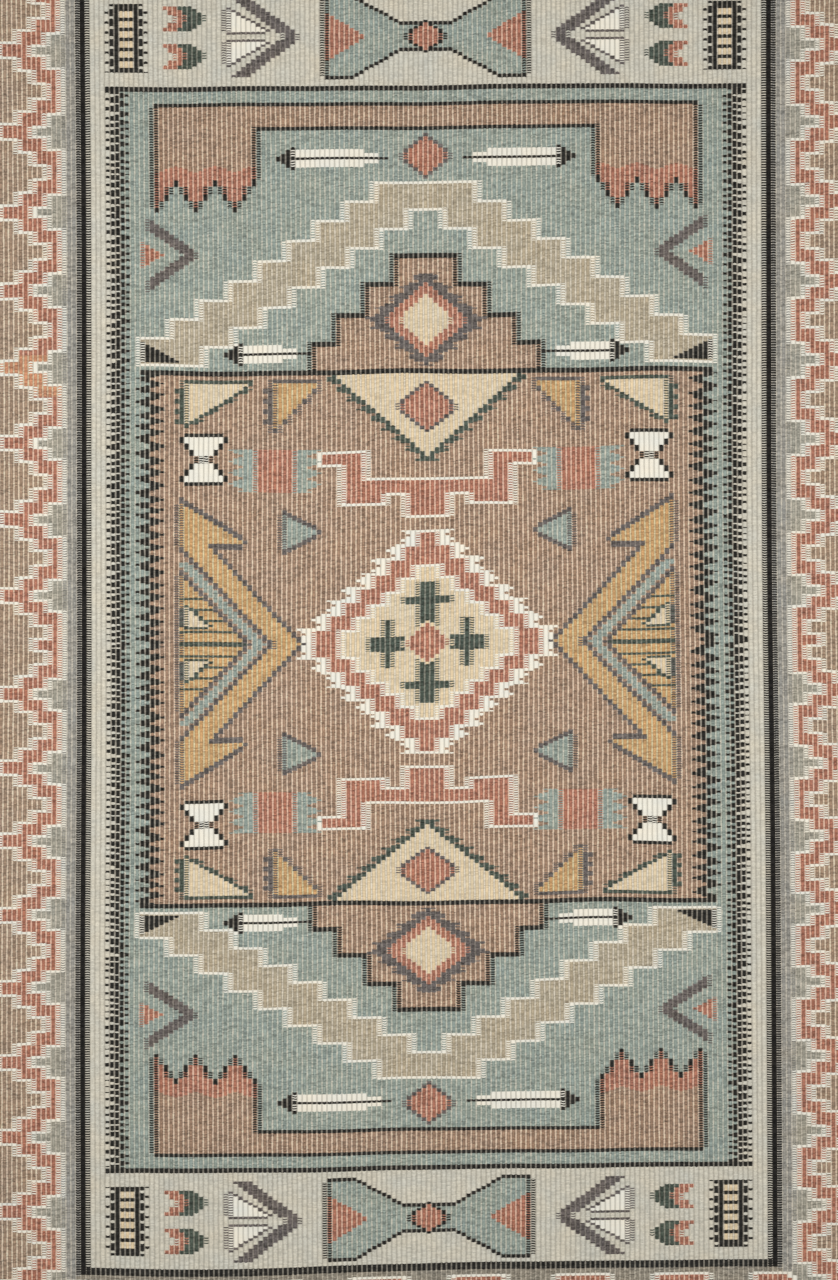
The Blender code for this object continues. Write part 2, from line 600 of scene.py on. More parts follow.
@dataclass(frozen=True)
class TealPanels:
    """The two teal panels: a brown mound under a stepped roof, and fringed hangings above it.

    Attributes:
        chart: the rug's chart.
        edge_rib: their last rib.
        beads: their first and last bead.
        roof_foot: the rib and the bead at which the roof starts to climb.
        roof_step: its steps' width in ribs and height in beads.
        roof_steps: how many it has.
        roof_lap: beads by which one step's bar overlaps the next.
        points: the first rib, width in ribs and depth in beads of the points along the hangings.
    """

    chart: Chart
    edge_rib: int = 62
    beads: Point = (219, 438)
    roof_foot: tuple[int, int] = (58, 225)
    roof_step: tuple[int, int] = (6, 15)
    roof_steps: int = 9
    roof_lap: int = 4
    points: tuple[int, int, int] = (35, 4, 22)

    def weave(self) -> None:
        """Weaves the panels' ground and figures."""
        chart = self.chart
        chart.lay(chart.box((0, self.edge_rib), (0, self.beads[1])), Yarn.TEAL)
        self._roof()
        self._mound()
        self._hangings()
        self._feathers()

    def _roof(self) -> None:
        """Weaves the tan bar that climbs in steps to the middle."""
        chart = self.chart
        wide, tall = self.roof_step
        bar = np.zeros(chart.out.shape, bool)
        for step in range(self.roof_steps):
            far = self.roof_foot[0] - step * wide
            low = self.roof_foot[1] + step * tall
            bar |= chart.box((max(far - 2 * wide, 0), far), (low, low + tall + self.roof_lap))
        chart.figure(bar, Yarn.TAN, Yarn.WHITE, 2, corners=True)
        chart.lay(chart.polygon((50, 226), (58.5, 226), (58.5, 243)), Yarn.BLACK)

    def _mound(self) -> None:
        """Weaves the brown mound that stands on the centre panel, with a diamond in it."""
        chart = self.chart
        mound = np.zeros(chart.out.shape, bool)
        for half, top in ((23, 238), (18, 260), (12, 284), (6, 306)):
            mound |= chart.box((0, half), (self.beads[0] - 4, top))
        chart.figure(mound, Yarn.BROWN, Yarn.BLACK, 4, corners=True)
        middle = (0, 258)
        chart.lay(chart.toothed(chart.diamond(middle, (10, 36)), 8, 2), Yarn.SLATE)
        chart.lay(chart.diamond(middle, (8, 29)), Yarn.RUST)
        chart.figure(chart.diamond(middle, (5, 20)), Yarn.IVORY)

    def _hangings(self) -> None:
        """Weaves the brown hangings at the panels' far corners, their rust edges cut in points."""
        chart = self.chart
        first, wide, deep = self.points
        points = deep * np.abs(((chart.out - first) / wide) % 2 - 1)
        cloth = chart.box((first, 55), (344, 425)) & (chart.off > 346 + points)
        cloth |= chart.box((0, 55), (409, 425))
        chart.figure(cloth, Yarn.BROWN, Yarn.BLACK)
        chart.lay(cloth & (chart.off < 374 + points / 4), Yarn.RUST)
        chart.figure(chart.diamond((0, 386), (4, 15)), Yarn.RUST, Yarn.SLATE, 3)

    def _feathers(self) -> None:
        """Weaves the white feathers, with their black quills and tips, and the chevrons beside them."""
        chart = self.chart
        for near, far, bead, tip in ((13, 27, 384, 30), (30, 38, 233, 41)):
            body = chart.box((near, far), (bead - 7, bead + 7))
            chart.lay(body | chart.box((near - 3, near), (bead - 4, bead + 4)), Yarn.WHITE)
            chart.lay(chart.polygon((far, bead - 9), (far, bead + 9), (tip + 1, bead)), Yarn.BLACK)
            chart.lay(chart.box((near - 5, tip), (bead - 1.1, bead + 0.9)), Yarn.BLACK)
        sign = chart.polygon((58, 278), (46, 310), (58, 342), (58, 332), (49.5, 310), (58, 288))
        chart.lay(sign, Yarn.SLATE)
        chart.lay(chart.polygon((59, 298), (59, 322), (53.5, 310)), Yarn.RUST)


@dataclass(frozen=True)
class EndBands:
    """The cream bands beyond the panels, with a row of small figures in each.

    Attributes:
        chart: the rug's chart.
        middle: the bead along the middle of a band.
        arrows: beads from there to each of its two arrows.
        arrow: the ribs of an arrow's point, its shoulders, the end of its head and its tail.
    """

    chart: Chart
    middle: float = 480.0
    arrows: tuple[float, float] = (15, -15)
    arrow: tuple[float, float, float, float] = (44, 48, 51, 54)

    def weave(self) -> None:
        """Weaves the bands' figures."""
        self._bow()
        self._peaks()
        for gap in self.arrows:
            self._arrow(self.middle + gap)
        self._comb_block()

    def _bow(self) -> None:
        """Weaves the teal bow at the middle of a band, with rust in its ends."""
        chart, mid = self.chart, self.middle
        half = [(-1, 9), (5, 9), (15, 31), (21, 31)]
        lower = [(rib, mid - reach) for rib, reach in half]
        upper = [(rib, mid + reach) for rib, reach in half]
        bow = chart.polygon(*lower, *upper[::-1])
        chart.figure(bow, Yarn.TEAL, Yarn.BLACK)
        chart.lay(chart.polygon((22, mid - 24), (22, mid + 24), (12, mid)) & bow, Yarn.RUST)
        chart.figure(chart.diamond((0, mid), (3, 11)), Yarn.RUST, Yarn.BLACK, 2)

    def _peaks(self) -> None:
        """Weaves the slate peaks with white triangles under them."""
        chart, mid = self.chart, self.middle
        for side in (-1, 1):
            top = mid + side * 32
            chart.lay(chart.polygon((25, mid), (36, top), (39.5, top), (29, mid)), Yarn.SLATE)
            inner = chart.polygon((32, mid + side * 4), (41, mid + side * 4), (41, mid + side * 24))
            chart.figure(inner, Yarn.WHITE, Yarn.SLATE, 2)

    def _comb_block(self) -> None:
        """Weaves the small tan block with black teeth to both sides."""
        chart, mid = self.chart, self.middle
        block = chart.box((59, 63), (mid - 28, mid + 27))
        chart.lay(chart.toothed(block, 8, 2), Yarn.BLACK)
        chart.lay(chart.box((60, 62), (mid - 25, mid + 24)) & (np.floor(chart.off) % 8 < 5), Yarn.IVORY)

    def _arrow(self, bead: float) -> None:
        """Weaves a green arrowhead with a forked rust tail.

        Args:
            bead: its middle bead.
        """
        tip, neck, waist, tail = self.arrow
        low, high = bead - 10, bead + 10
        head = self.chart.polygon((tip, bead), (neck, low), (waist, low), (waist, high), (neck, high))
        self.chart.lay(head, Yarn.GREEN)
        fork = self.chart.polygon(
            (neck, bead), (waist, low), (tail, low), (tail - 3, bead), (tail, high), (waist, high)
        )
        self.chart.lay(fork, Yarn.RUST)


@dataclass
class RugForm:
    """Where each place of the chart lies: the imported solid's uneven outline and heights, in metres.

    Shares and places along the rug run from -1 at its lower end to 1 at its upper end, and across it
    from -1 at its left side to 1 at its right.

    Attributes:
        count: the cloth's counts.
        lowest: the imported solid's lowest corner.
        highest: its highest corner.
        width: the rug's mean width.
        length: its length.
        lower_widening: how much wider than the middle the lower end is, as a share.
        waist_share: how far the sides draw in at the waist, as a share of the width.
        waist_above_middle: where the waist is along the rug.
        waist_spacing: the length over which the sides swing out and in again.
        lower_end_slant: how far the lower end's right half lies above its middle.
        end_wave: how far the weft rows wave across the rug.
        end_waves_across: how many such waves the width takes.
        sag: how far the rows sag where the weaver beat them harder, low on the left.
        sag_place: the middle of that place.
        sag_size: its reach across and along.
        beat_drift: how far the middle of the rug has drifted down, between the two end guards.
        drift_lean: how far the drift's peak lies off the middle.
        border_squeeze: how much wider the middle's ribs are than the border's, as a share.
        row_wander: how far single rows wander along the rug.
        warp_wander: how far single warps wander across it.
        stitch_wander: how far single stitches stray along their warp.
        stray_within: the share of the length in which they do.
        sway: the waves in which the warps wander, as waves() takes them.
        rows: the two waves in which the rows do.
        second_row_share: the second one's strength beside the first.
        stitches: the waves in which stitches stray.
        loft_waves: those in which the ribs' height varies.
        loft: how far the ribs' height varies.
        rib_depth: from a rib's crest down to the valley beside it.
        crest_gap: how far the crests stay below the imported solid's highest point.
        end_rounding: the beads over which the face rounds down at each end.
        rim_height: the height of the selvedges.
        underside_inset: how far the underside draws in below the rim.
        rim_points: how many points of each side the outline's box is measured from.
        shift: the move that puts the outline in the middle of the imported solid's box.
    """

    count: Count
    lowest: Vector
    highest: Vector
    width: float = 0.748
    length: float = 1.220
    lower_widening: float = 0.003
    waist_share: float = 0.004
    waist_above_middle: float = 0.3
    waist_spacing: float = 1.9
    lower_end_slant: float = 0.0029
    end_wave: float = 0.0007
    end_waves_across: float = 1.3
    sag: float = 0.0030
    sag_place: Point = (-0.46, -0.85)
    sag_size: Point = (0.22, 0.09)
    beat_drift: float = 0.0136
    drift_lean: float = 0.135
    border_squeeze: float = 0.006
    row_wander: float = 0.0006
    warp_wander: float = 0.0006
    stitch_wander: float = 0.00030
    stray_within: float = 0.99
    sway: tuple[Wave, ...] = ((5.0, 9.0, 0.0),)
    rows: tuple[Wave, Wave] = ((11.0, 7.0, 0.0), (23.0, -13.0, 1.0))
    second_row_share: float = 0.6
    stitches: tuple[Wave, ...] = ((12.9, 3.7, 0.0), (5.3, -7.1, 0.0))
    loft_waves: tuple[Wave, ...] = ((0.9, 0.031, 0.0), (0.37, -0.047, 0.0))
    loft: float = 0.12 * MM
    rib_depth: float = 0.9 * MM
    crest_gap: float = 0.1 * MM
    end_rounding: float = 5.0
    rim_height: float = 1.5 * MM
    underside_inset: float = 0.9 * MM
    rim_points: int = 200
    shift: np.ndarray = field(default_factory=lambda: np.zeros(2))

    def __post_init__(self) -> None:
        """Works out the shift from the outline's own box."""
        warps = np.linspace(0, self.count.ribs, self.rim_points)
        picks = np.linspace(0, self.count.beads, self.rim_points)
        rim = [self._flat(warps, np.full(len(warps), end)) for end in (0.0, self.count.beads)]
        rim += [self._flat(np.full(len(picks), side), picks) for side in (0.0, self.count.ribs)]
        points = np.concatenate(rim)
        wanted = np.array((self.lowest + self.highest) / 2)[:2]
        self.shift = wanted - (points.min(0) + points.max(0)) / 2

    def _flat(self, warp: np.ndarray, pick: np.ndarray) -> np.ndarray:
        """Where warps and picks cross, seen from above, before the shift.

        Args:
            warp: place across, in ribs from the left selvedge.
            pick: place along, in beads from the upper end.

        Returns:
            An array of x and y.
        """
        across = 2 * warp / self.count.ribs - 1
        across = across * (1 + self.border_squeeze * (1 - across**2))
        along = 1 - 2 * pick / self.count.beads
        inside = 1 - along**2

        waist = np.cos(math.tau * (self.waist_above_middle - along) / self.waist_spacing)
        half = self.width / 2 * (1 - self.lower_widening * along - self.waist_share * waist)
        sway = self.warp_wander * inside * waves(across, along, *self.sway)
        x = across * half + sway * (1 - across**2)

        slant = self.lower_end_slant * (1 - along) / 2 * across
        wave = self.end_wave * np.sin(math.tau * self.end_waves_across * across / 2)
        beside = (across - self.sag_place[0]) / self.sag_size[0]
        beyond = (along - self.sag_place[1]) / self.sag_size[1]
        wave = wave - self.sag * np.exp(-(beside**2) - beyond**2)
        bead = (pick - self.count.beads / 2) / self.count.end_guard
        leaning = bead + self.drift_lean * (1 - bead**2)
        beat = self.beat_drift * np.where(np.abs(bead) < 1, np.cos(math.pi / 2 * leaning) ** 2, 0)
        first, second = (waves(across, along, wander) for wander in self.rows)
        rows = first + self.second_row_share * second
        stray = self.stitch_wander * waves(warp, pick, *self.stitches) * (np.abs(along) < self.stray_within)
        y = along * self.length / 2 + slant + wave - beat + self.row_wander * inside * rows + stray
        return np.stack([x, y], axis=-1)

    def places(self, warp: np.ndarray, pick: np.ndarray, height: np.ndarray) -> np.ndarray:
        """Points of the cloth, as x, y and z, from places across and along and heights."""
        flat = self._flat(warp, pick) + self.shift
        return np.concatenate([flat, height[:, None]], axis=1)

    def heights(self, warp: np.ndarray, pick: np.ndarray, crest: bool) -> np.ndarray:
        """The face's height along a crest or a valley, rounded down at the ends.

        Args:
            warp: place across, in ribs.
            pick: place along, in beads.
            crest: whether the places lie on a rib's crest.

        Returns:
            The heights.
        """
        full = self.highest.z - self.crest_gap - (0 if crest else self.rib_depth)
        loft = self.loft * waves(warp, pick, *self.loft_waves)
        from_end = np.minimum(pick, self.count.beads - pick)
        rounding = np.sqrt(1 - (1 - np.clip(from_end / self.end_rounding, 0, 1)) ** 2)
        return self.rim_height + (full + loft - self.rim_height) * rounding


class Loom:
    """Weaves a chart into one closed sheet, a rib for each warp.

    Attributes:
        station_beads: the most beads between two points of a warp.
        end_stations: beads from each end at which every warp has a point, for the end's rounding.
        map_margin: the part of the cloth's flat picture kept along each side for its thin edge.
        floor_height: points lower than this lie on the surface.
        points, weave_places: each line's points in space, and their places in ribs and beads.
        faces, cells: each face's corners, and the cell of the chart whose yarns it wears.
        cuts: the beads at which each rib has a point.
        crests, valleys, unders: the number of each line's first point, above and below.
        stops: where each of those beads comes in a valley's line.
    """

    station_beads = 78
    end_stations = (0, 1, 3)
    map_margin = 0.004
    floor_height = 1e-6

    def __init__(self, chart: Chart, form: RugForm) -> None:
        """Lays out the warps.

        Args:
            chart: the finished chart.
            form: the cloth's form.
        """
        self.chart = chart
        self.form = form
        self.points: list[np.ndarray] = []
        self.weave_places: list[np.ndarray] = []
        self.total = 0
        self.faces: list[list[int]] = []
        self.cells: list[tuple[tuple[int, int], bool]] = []
        self.cuts = self._cuts()
        self.crests: list[int] = []
        self.valleys: list[int] = []
        self.unders: list[int] = []
        self.stops: list[dict[int, int]] = []

    def _cuts(self) -> list[list[int]]:
        """Finds the beads at which each rib has a point: where its yarn changes, and every so often.

        Returns:
            Each rib's beads in order.
        """
        count = self.form.count
        codes = pair_codes(self.chart.yarn, self.chart.mate)
        stations = {count.beads // 2, *range(0, count.beads, self.station_beads)}
        stations |= {end for near in self.end_stations for end in (near, count.beads - near)}
        return [sorted(stations.union(*runs_of(line))) for line in codes]

    def _line(self, warp: float, picks: np.ndarray, height: np.ndarray, inset: float = 0.0) -> int:
        """Adds a line of points along one warp.

        Args:
            warp: the line's place across, in ribs.
            picks: its points' places along, in beads.
            height: their heights.
            inset: how far they draw in from the rim, in metres.

        Returns:
            The number of the line's first point.
        """
        count = self.form.count
        places = np.full(len(picks), float(warp))
        points = self.form.places(places, picks, height)
        if inset:
            points[:, 0] += inset * ((warp == 0) * 1.0 - (warp == count.ribs) * 1.0)
            points[0, 1] -= inset
            points[-1, 1] += inset
        first = self.total
        self.points.append(points)
        self.weave_places.append(np.stack([places, picks, np.zeros_like(picks)], axis=1))
        self.total += len(picks)
        return first

    def weave(self) -> bpy.types.Object:
        """Builds the sheet.

        Returns:
            The rug's object, with its yarns as colour attributes.
        """
        self._string()
        for rib in range(self.form.count.ribs):
            self._cover(rib)
        self._close_sides()
        return self._object()

    def _string(self) -> None:
        """Lays the points of every crest, then of the valley and the underside beside each rib."""
        ribs = self.form.count.ribs
        for rib, beads in enumerate(self.cuts):
            picks = np.array(beads, float)
            warp = np.full(len(picks), rib + 0.5)
            self.crests.append(self._line(rib + 0.5, picks, self.form.heights(warp, picks, True)))
        for warp in range(ribs + 1):
            beads = sorted(set().union(*self.cuts[max(warp - 1, 0) : warp + 1]))
            self.stops.append({bead: i for i, bead in enumerate(beads)})
            picks = np.array(beads, float)
            height = self.form.heights(np.full(len(picks), float(warp)), picks, False)
            if warp in (0, ribs):
                height = np.full(len(picks), self.form.rim_height)
            self.valleys.append(self._line(warp, picks, height))
            self.unders.append(self._line(warp, picks, np.zeros(len(picks)), self.form.underside_inset))

    def _cover(self, rib: int) -> None:
        """Covers one rib with its yarns, above and below, and turns the edge over at its two ends.

        Args:
            rib: the rib's number.
        """
        cuts, crest = self.cuts[rib], self.crests[rib]
        valleys, unders, stops = (lines[rib : rib + 2] for lines in (self.valleys, self.unders, self.stops))
        for i, (start, end) in enumerate(zip(cuts[:-1], cuts[1:], strict=True)):
            lefts = range(stops[0][start], stops[0][end] + 1)
            rights = range(stops[1][end], stops[1][start] - 1, -1)
            cell = (rib, start)
            self._face([valleys[0] + j for j in lefts] + [crest + i + 1, crest + i], cell)
            self._face([crest + i, crest + i + 1] + [valleys[1] + j for j in rights], cell)
            under = [unders[0] + j for j in lefts] + [unders[1] + j for j in rights]
            self._face(under[::-1], cell)
        for i, turn in ((0, 1), (len(cuts) - 1, -1)):
            left, right = (stop[cuts[i]] for stop in stops)
            rim = [valleys[0] + left, crest + i, valleys[1] + right, unders[1] + right, unders[0] + left]
            self._face(rim[::turn], (rib, min(cuts[i], self.form.count.beads - 1)), True)

    def _close_sides(self) -> None:
        """Joins the face to the underside along both side selvedges."""
        ribs = self.form.count.ribs
        for warp, rib, turn in ((0, 0, 1), (ribs, ribs - 1, -1)):
            for i, bead in enumerate(list(self.stops[warp])[:-1]):
                top, under = self.valleys[warp] + i, self.unders[warp] + i
                self._face([top, under, under + 1, top + 1][::turn], (rib, bead), True)

    def _face(self, corners: list[int], cell: tuple[int, int], wall: bool = False) -> None:
        """Adds a face that wears the yarns of one cell of the chart, on the cloth or on its thin edge."""
        self.faces.append(corners)
        self.cells.append((cell, wall))

    def _unroll(self, mesh: bpy.types.Mesh, corners: np.ndarray, sizes: np.ndarray) -> None:
        """Lays the cloth out flat over the whole of its own picture, face and underside alike.

        Args:
            mesh: the cloth's mesh.
            corners: the point at each corner of each face.
            sizes: how many corners each face has.
        """
        count = self.form.count
        places = np.concatenate(self.weave_places)[corners]
        whole = np.stack([places[:, 0] / count.ribs, 1 - places[:, 1] / count.beads], axis=1)
        flat = self.map_margin + (1 - 2 * self.map_margin) * whole
        lower = np.concatenate(self.points)[corners, 2] < self.floor_height
        walls = np.repeat(np.array([wall for _, wall in self.cells], bool), sizes)
        edge = np.isclose(whole, 1) * 1.0 - np.isclose(whole, 0) * 1.0
        flat += edge * ((walls & lower)[:, None] * self.map_margin)
        layer = mesh.uv_layers.new(name="OFBake")
        layer.data.foreach_set("uv", flat.ravel())

    def _object(self) -> bpy.types.Object:
        """Makes the mesh and its attributes.

        Returns:
            The rug's object.
        """
        mesh = bpy.data.meshes.new("rug_cloth")
        points = np.concatenate(self.points)
        sizes = np.array([len(face) for face in self.faces])
        corners = np.concatenate([np.array(face) for face in self.faces])
        mesh.vertices.add(len(points))
        mesh.loops.add(len(corners))
        mesh.polygons.add(len(sizes))
        mesh.vertices.foreach_set("co", points.ravel())
        mesh.loops.foreach_set("vertex_index", corners)
        mesh.polygons.foreach_set("loop_start", np.concatenate([[0], np.cumsum(sizes)[:-1]]))
        mesh.update(calc_edges=True)
        mesh.polygons.foreach_set("use_smooth", np.ones(len(sizes), bool))

        place = mesh.attributes.new("weave_place", "FLOAT_VECTOR", "POINT")
        place.data.foreach_set("vector", np.concatenate(self.weave_places).ravel())
        table = np.array([(*linear(yarn.value.shade), yarn.value.warp_line_and_shade) for yarn in Yarn])
        ribs, beads = np.array([cell for cell, _ in self.cells]).T
        for name, chosen in (("weft", self.chart.yarn), ("second_weft", self.chart.mate)):
            shades = table[chosen[ribs, beads]]
            attribute = mesh.attributes.new(name, "FLOAT_COLOR", "CORNER")
            attribute.data.foreach_set("color", np.repeat(shades, sizes, axis=0).ravel())
        self._unroll(mesh, corners, sizes)
        mesh.validate()
        rug = bpy.data.objects.new("rug_cloth", mesh)
        bpy.context.scene.collection.objects.link(rug)
        triangles = int((sizes - 2).sum())
        log.info("rug_cloth: %d points, %d faces, %d triangles", len(points), len(sizes), triangles)
        return rug


def add_node(
    tree: bpy.types.NodeTree, kind: str, inputs: dict[str | int, Any] | Sequence[Any] = (), **settings: Any
) -> bpy.types.Node:
    """Adds a node with its settings and links.

    Args:
        tree: the node tree.
        kind: the node's type, without "ShaderNode".
        inputs: what goes into its inputs, by name or number, or in order: a value, an output
            socket, or a node, which stands for its first output.
        settings: values of the node's own properties.

    Returns:
        The node.
    """
    node = tree.nodes.new("ShaderNode" + kind)
    for name, value in settings.items():
        setattr(node, name, value)
    for key, value in inputs.items() if isinstance(inputs, dict) else enumerate(inputs):
        source = value.outputs[0] if isinstance(value, bpy.types.Node) else value
        if isinstance(source, bpy.types.NodeSocket):
            tree.links.new(source, node.inputs[key])
        else:
            node.inputs[key].default_value = source
    return node


@dataclass(frozen=True)
class Grain:
    """A soft unevenness in the spinning, the dye or the beating of the wool.

    Attributes:
        across_mm: how wide its patches are across the rug.
        along_mm: how long they are along it.
        strength: how much it changes what it is added to.
        detail: how many finer layers it has.
        roughness: how strong each finer layer is.
    """

    across_mm: float
    along_mm: float
    strength: float
    detail: float = 3.0
    roughness: float = 0.6


@dataclass(frozen=True)
class PackedWool:
    """Handspun wool weft, beaten down hard over cream warps: matt, softly ribbed and heathered.

    Wool has no gloss of its own, and its fibres catch light at a slant, which the sheen gives.
    The ribs are the mesh's own. The shader adds each stitch, the warp that shines through in the
    valleys under a painted highlight of the yarn, painted shade under that line and down the ribs'
    sides, and the uneven dye of handspun yarn. A wool fibre is 0.03 mm thick, too fine to show,
    so the fibre grain is drawn as tufts of 0.4 mm.

    Attributes:
        rib_mm: the width of a rib.
        bead_mm: the length of a bead.
        warp_shade: sRGB hex colour of the bare warp.
        roughness: the yarn's mean roughness.
        rough_spread: how far the fibres vary it.
        ior: wool's refractive index.
        specular: how much surface gloss the loose fibres leave.
        sheen: the light that they catch at a slant.
        stitch_relief: how far a stitch stands up, in metres.
        fibre: the fibres' tufts.
        passes: the dye's change from one pass of weft to the next.
        streaks: its change along single ribs.
        patches: its broad soft patches.
        waver: the wavering of the warp's light line, in ribs.
        gaps: the opening and closing of that line, in ribs.
        tufts_to_a_rib: tufts side by side on one rib, each of its own shade.
        speck: how much the darkest yarn's shade varies from bead to bead.
        speck_fall: how much of that is lost in the palest yarn, as a share.
        mean_level: the shade's level before the grains lighten it.
        cool: red, green and blue shares of the light where the dye took coolest.
        warm: the same where it took warmest.
        line_width: the light line's width, as a share of a rib.
        line_edges: where its soft edge starts and ends, as shares of half its width.
        line_level: how much of the warp and its painted highlight is seen at the least.
        line_gaps: how much more is seen where the stitches gape.
        line_glints: how much more is seen at single beads.
        valley_shadow: how much painted shadow darkens the yarn under the line.
        trough_shade: how much painted shade darkens it down a rib's sides.
        trough_edges: where that shade starts to fade and where it ends, in ribs from the valley.
        fuzz: how much the yarn's own fibres cover the warp.
        highlight_lift: how much lighter they are drawn there than on the crest, as a painted highlight.
        black_below: the paleness under which a yarn counts as black.
        black_gain: how much more than its half of a comb black yarn takes, as it is spun thicker.
    """

    rib_mm: float
    bead_mm: float
    warp_shade: str = "#e9dfcc"
    roughness: float = 0.92
    rough_spread: float = 0.06
    ior: float = 1.54
    specular: float = 0.12
    sheen: float = 0.06
    stitch_relief: float = 0.08 * MM
    fibre: Grain = Grain(0.4351, 0.4472, strength=0.9, roughness=0.7)
    passes: Grain = Grain(43.5, 1.789, strength=0.16, detail=4.0, roughness=0.65)
    streaks: Grain = Grain(2.061, 19.7, strength=0.24)
    patches: Grain = Grain(24.5, 24.6, strength=0.10, roughness=0.55)
    waver: Grain = Grain(8.70, 16.4, strength=0.20, detail=2.0)
    gaps: Grain = Grain(5.365, 8.944, strength=0.10, roughness=0.7)
    tufts_to_a_rib: float = 3.0
    speck: float = 1.50
    speck_fall: float = 1.2
    mean_level: float = 0.76
    cool: Colour = (0.92, 1.00, 1.10, 1.0)
    warm: Colour = (1.08, 1.00, 0.90, 1.0)
    line_width: float = 0.34
    line_edges: Point = (0.35, 1.45)
    line_level: float = 0.47
    line_gaps: float = 0.5
    line_glints: float = 0.62
    valley_shadow: float = 0.30
    trough_shade: float = 0.42
    trough_edges: Point = (0.12, 0.38)
    fuzz: float = 0.64
    highlight_lift: float = 2.25
    black_below: float = 0.05
    black_gain: float = 0.11

    def material(self) -> bpy.types.Material:
        """Builds the material.

        Returns:
            A material that reads the mesh's weave_place, weft and second_weft attributes.
        """
        material = bpy.data.materials.new("packed_wool_weft")
        material.use_nodes = True
        tree = material.node_tree
        tree.nodes.clear()
        add = partial(add_node, tree)

        place = add("Attribute", attribute_name="weave_place").outputs["Vector"]
        warp, pick = add("SeparateXYZ", (place,)).outputs[:2]
        rib = add("Math", (warp,), operation="FLOOR")
        odd = add("Math", (rib, 2.0), operation="MODULO")
        row = add("Math", (odd, 0.5, pick), operation="MULTIPLY_ADD")
        bead = add("Math", (row,), operation="FLOOR")
        shade, line_and_shade = self._yarn(tree, row)
        shade = self._heather(tree, shade, rib, bead, warp, pick)
        shade = self._warp_line_and_painted_light(tree, shade, line_and_shade, warp, pick)

        half_turn = add("Math", (add("Math", (row,), operation="FRACT"), math.pi), operation="MULTIPLY")
        swell = add("Math", (half_turn,), operation="SINE")
        fibre = self._noise(tree, self.fibre, warp, pick)
        height = add("Math", (fibre, self.fibre.strength, swell), operation="MULTIPLY_ADD")
        bump = add("Bump", {"Strength": 1.0, "Distance": self.stitch_relief, "Height": height})
        smoothest = self.roughness - self.rough_spread
        rough = add("Math", (fibre, 2 * self.rough_spread, smoothest), operation="MULTIPLY_ADD")
        yarn = {
            "Base Color": shade,
            "Roughness": rough,
            "IOR": self.ior,
            "Specular IOR Level": self.specular,
            "Sheen Weight": self.sheen,
            "Sheen Roughness": 0.5,
            "Normal": bump,
        }
        add("OutputMaterial", {"Surface": add("BsdfPrincipled", yarn)})
        return material

    def _noise(self, tree: bpy.types.NodeTree, grain: Grain, warp: Any, pick: Any) -> bpy.types.Node:
        """Spreads a grain over the cloth.

        Args:
            tree: the node tree.
            grain: the grain.
            warp: the place across, in ribs.
            pick: the place along, in beads.

        Returns:
            The node of a noise from 0 to 1.
        """
        place = add_node(tree, "CombineXYZ", (warp, pick))
        scale = (self.rib_mm / grain.across_mm, self.bead_mm / grain.along_mm, 1.0)
        scaled = add_node(tree, "VectorMath", (place, scale), operation="MULTIPLY")
        layers = {"Vector": scaled, "Scale": 1.0, "Detail": grain.detail, "Roughness": grain.roughness}
        return add_node(tree, "TexNoise", layers)

    def _yarn(self, tree: bpy.types.NodeTree, row: Any) -> tuple[Any, Any]:
        """Picks the yarn of each bead: on a shared warp the two wefts take turns.

        Args:
            tree: the node tree.
            row: the place along, in beads.

        Returns:
            The colour, and a share that sets how much of the warp and its painted highlight is seen and how
            deep the painted shade beside them is.
        """
        add = partial(add_node, tree)
        first, second = (add("Attribute", attribute_name=name) for name in ("weft", "second_weft"))
        blacks = []
        for weft in (first, second):
            paleness = add("RGBToBW", (weft,))
            blacks.append(add("Math", (paleness, self.black_below), operation="LESS_THAN"))
        thicker = add("Math", blacks, operation="SUBTRACT")
        first_ends = add("Math", (thicker, self.black_gain, 0.5), operation="MULTIPLY_ADD")
        in_pair = add("Math", (add("Math", (row, 0.5), operation="MULTIPLY"),), operation="FRACT")
        turn = add("Math", (in_pair, first_ends), operation="GREATER_THAN")
        shade = add("Mix", {0: turn, 6: first, 7: second}, data_type="RGBA").outputs[2]
        return shade, add("Mix", {0: turn, 2: first.outputs["Alpha"], 3: second.outputs["Alpha"]})

    def _heather(
        self, tree: bpy.types.NodeTree, shade: Any, rib: Any, bead: Any, warp: Any, pick: Any
    ) -> Any:
        """Varies the dye: bead by bead, along each pass and each rib, and in broad soft patches.

        Dark yarns are spun from dyed fleeces that never blend evenly, so they vary the most.

        Args:
            tree: the node tree.
            shade: the yarn's colour.
            rib: the rib's number.
            bead: the bead's number.
            warp: the place across, in ribs.
            pick: the place along, in beads.

        Returns:
            The varied colour.
        """
        add = partial(add_node, tree)
        spread_out = add("Math", (warp, self.tufts_to_a_rib), operation="MULTIPLY")
        tuft = add("Math", (spread_out,), operation="FLOOR")
        specks = [add("TexWhiteNoise", {"Vector": add("CombineXYZ", (x, bead))}) for x in (rib, tuft)]
        both = add("Math", specks, operation="ADD")
        centred = add("Math", (both, 0.5, -0.5), operation="MULTIPLY_ADD")
        paleness = add("RGBToBW", (shade,))
        spread = add("Math", (paleness, -self.speck_fall * self.speck, self.speck), operation="MULTIPLY_ADD")
        level = add("Math", (centred, spread, self.mean_level), operation="MULTIPLY_ADD")
        for grain in (self.passes, self.streaks, self.patches):
            noise = self._noise(tree, grain, warp, pick)
            level = add("Math", (noise, grain.strength, level), operation="MULTIPLY_ADD")
        bright = add("VectorMath", {0: shade, "Scale": level}, operation="SCALE")
        hue = add("Mix", {0: noise, 6: self.cool, 7: self.warm}, data_type="RGBA").outputs[2]
        return add("Mix", {0: 1.0, 6: bright, 7: hue}, data_type="RGBA", blend_type="MULTIPLY").outputs[2]

